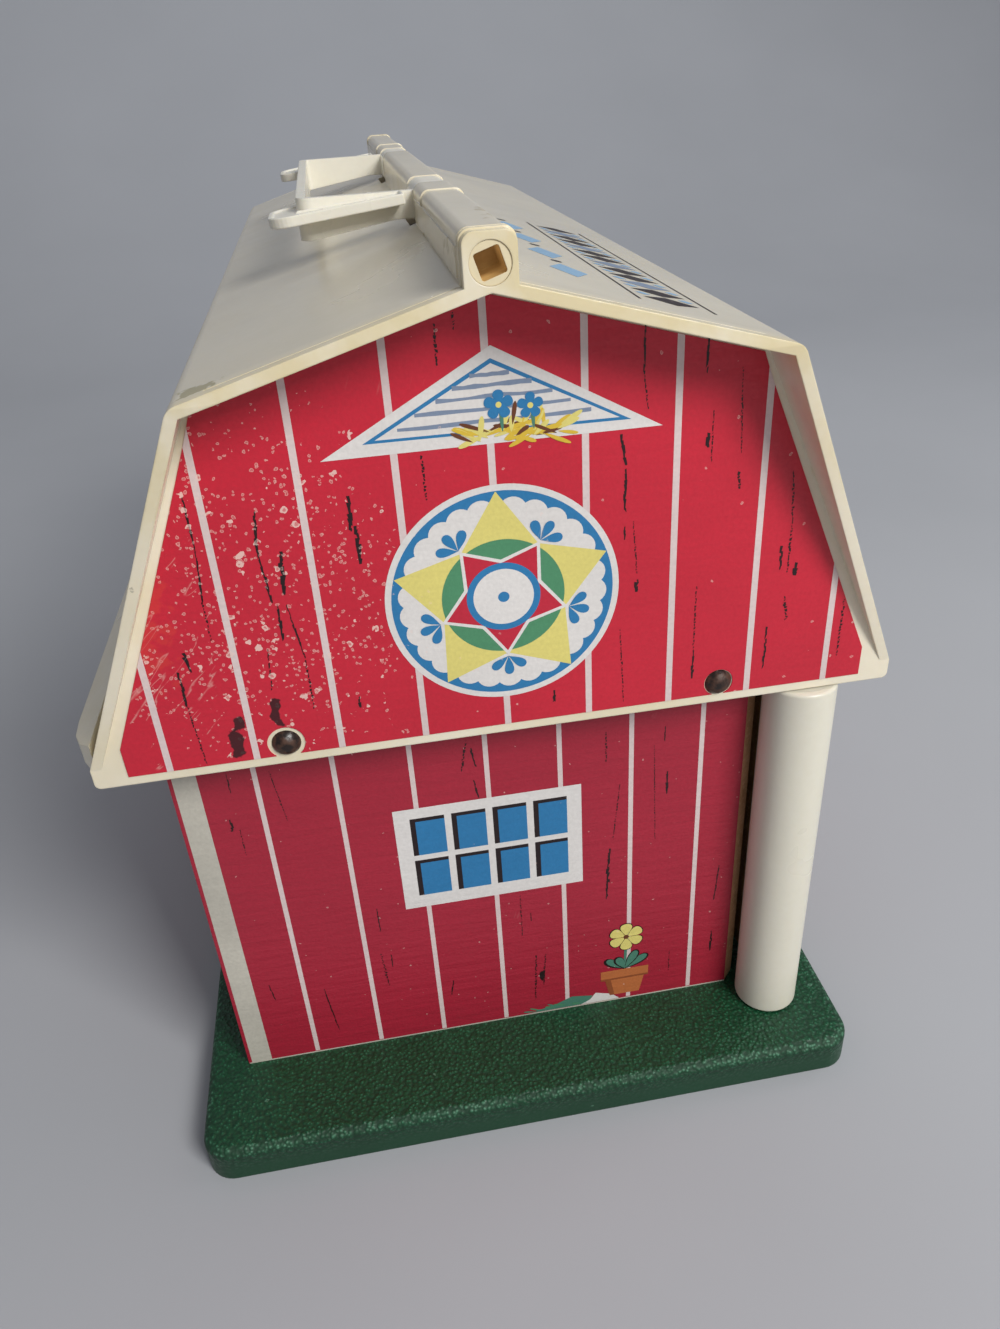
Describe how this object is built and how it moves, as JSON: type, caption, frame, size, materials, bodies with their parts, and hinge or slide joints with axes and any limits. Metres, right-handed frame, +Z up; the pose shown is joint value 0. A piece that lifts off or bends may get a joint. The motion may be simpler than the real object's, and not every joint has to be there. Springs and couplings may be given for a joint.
{
  "type": "toy barn with opening doors",
  "caption": "Toy barn with a gambrel roof, board walls on a flat base, doors that swing open along one long side, a loft inside and a carry handle that folds on the ridge.",
  "frame": {"origin": "centre of the base's underside, on the surface that the barn stands on", "axes": "+X towards the long side with the doors, +Y along the ridge from the near end to the far end, +Z up"},
  "size_m": [0.2107, 0.336, 0.2569],
  "materials": {
    "green_plastic": "fine pebble grain",
    "ivory_plastic": "aged, slightly glossy",
    "post_plastic": "aged, slightly glossy",
    "board": "hardboard with bare edges",
    "red_print": "printed paper, satin",
    "rivet": "dark brown, satin",
    "steel": "zinc plated",
    "axle_plastic": "amber",
    "knob_paint": "painted"
  },
  "bodies": {
    "barn": {"base_tray": "green_plastic", "base_screws": "steel", "back_wall": "board", "back_print": "red_print", "corner_blocks": "board", "wall_cleats": "board", "roof_shell": "ivory_plastic", "gable_rivets": "rivet", "rivet_washers": "steel", "lower_pins": "steel", "upper_pins": "steel", "loft_floor": "board", "loft_cleats": "board", "loft_rail": "ivory_plastic", "near_end_wall": "board", "far_end_wall": "board", "near_end_print": "red_print", "far_end_print": "red_print", "near_gable_print": "red_print", "far_gable_print": "red_print"},
    "handle": {"carry_handle": "ivory_plastic", "handle_axle": "axle_plastic"},
    "near_door": {"near_door_post": "post_plastic", "near_post_plugs": "post_plastic", "near_door_leaf": "board", "near_door_print": "red_print", "near_door_knob": "knob_paint", "near_knob_washer": "steel"},
    "far_door": {"far_door_post": "post_plastic", "far_post_plugs": "post_plastic", "far_door_leaf": "board", "far_door_print": "red_print", "far_door_knob": "knob_paint", "far_knob_washer": "steel"}
  },
  "joints": [
    {"name": "handle_swing", "type": "hinge", "parent": "barn", "child": "handle", "pos_m": [0, 0, 0.251], "axis": [0, 1, 0], "range_deg": [-8, 172]},
    {"name": "near_door_swing", "type": "hinge", "parent": "barn", "child": "near_door", "pos_m": [0.0814, -0.1439, 0.0742], "axis": [0, 0, -1], "range_deg": [0, 105]},
    {"name": "far_door_swing", "type": "hinge", "parent": "barn", "child": "far_door", "pos_m": [0.0814, 0.1439, 0.0742], "axis": [0, 0, 1], "range_deg": [0, 105]}
  ]
}
